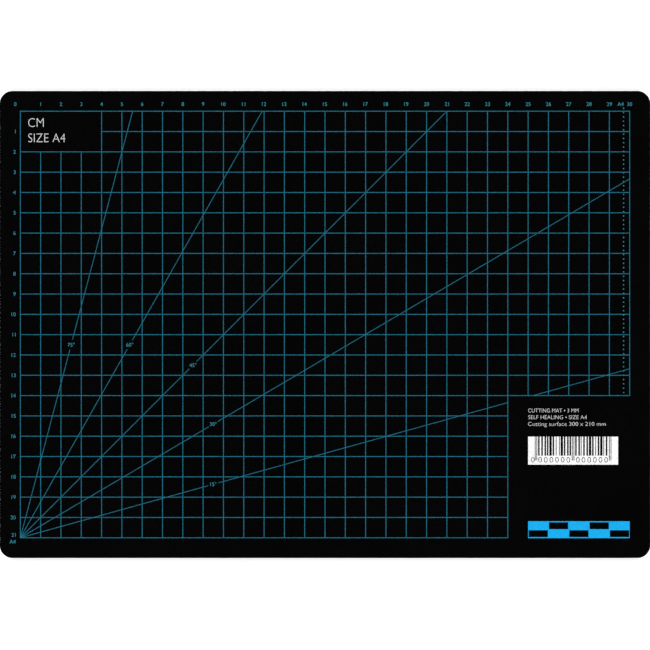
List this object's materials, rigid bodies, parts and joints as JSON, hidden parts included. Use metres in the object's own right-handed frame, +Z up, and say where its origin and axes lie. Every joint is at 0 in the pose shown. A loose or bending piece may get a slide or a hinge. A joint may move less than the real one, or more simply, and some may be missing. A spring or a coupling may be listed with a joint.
{
  "type": "self healing cutting mat",
  "caption": "Flat laminated cutting board with rounded corners, a printed centimetre grid, angle guides and scales, for cutting leather and paper on a desk.",
  "frame": {"origin": "centre of the underside, on the surface that the mat lies on", "axes": "+X along the long side, the way the printed scale counts; +Y towards the long edge with the main scale; +Z up through the layers to the printed face"},
  "size_m": [0.3204, 0.23, 0.003],
  "materials": {
    "soft_vinyl_top": "black soft vinyl with a fine matt grain",
    "soft_vinyl_bottom": "black soft vinyl with a fine matt grain",
    "hard_vinyl_core": "dark grey hard vinyl, visible only at the cut edge",
    "bond_film": "clear film between the plies, seen as a thin line at the cut edge",
    "cyan_line_ink": "thin screen printed ink, satin",
    "cyan_solid_ink": "solid screen printed ink, satin",
    "white_ink": "solid screen printed ink, satin"
  },
  "bodies": {
    "root": {"bottom_ply": "soft_vinyl_bottom", "lower_bond_film": "bond_film", "core_ply": "hard_vinyl_core", "upper_bond_film": "bond_film", "top_ply": "soft_vinyl_top", "grid_ink": "cyan_line_ink", "angle_lines_ink": "cyan_line_ink", "sheet_limit_ink": "cyan_line_ink", "label_panel_ink": "white_ink", "check_scale_ink": "cyan_solid_ink"}
  },
  "joints": []
}
